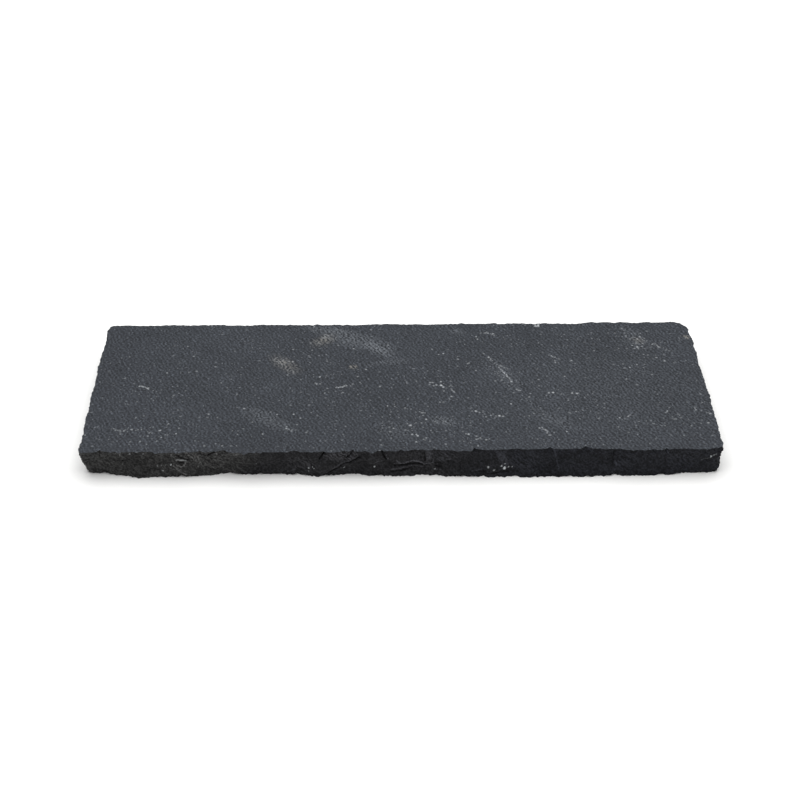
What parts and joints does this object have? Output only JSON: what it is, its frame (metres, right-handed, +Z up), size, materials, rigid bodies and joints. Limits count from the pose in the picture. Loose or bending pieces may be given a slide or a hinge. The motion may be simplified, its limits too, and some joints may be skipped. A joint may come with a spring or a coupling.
{
  "type": "wall coping stone",
  "caption": "Flat rectangular capping slab of dark limestone with hand-hewn edges, laid on its bed along the top of a garden wall.",
  "frame": {"origin": "middle of the bed: the centre of the slab's box in plan, at the height of the flat underside", "axes": "+X along the slab, +Y across it to the back edge, +Z up out of the weathered top"},
  "size_m": [0.9058, 0.3114, 0.0452],
  "materials": {
    "limestone": "brushed dark blue-grey top and bed, rough near-black hewn edges"
  },
  "bodies": {
    "root": {"coping_slab": "limestone"}
  },
  "joints": []
}
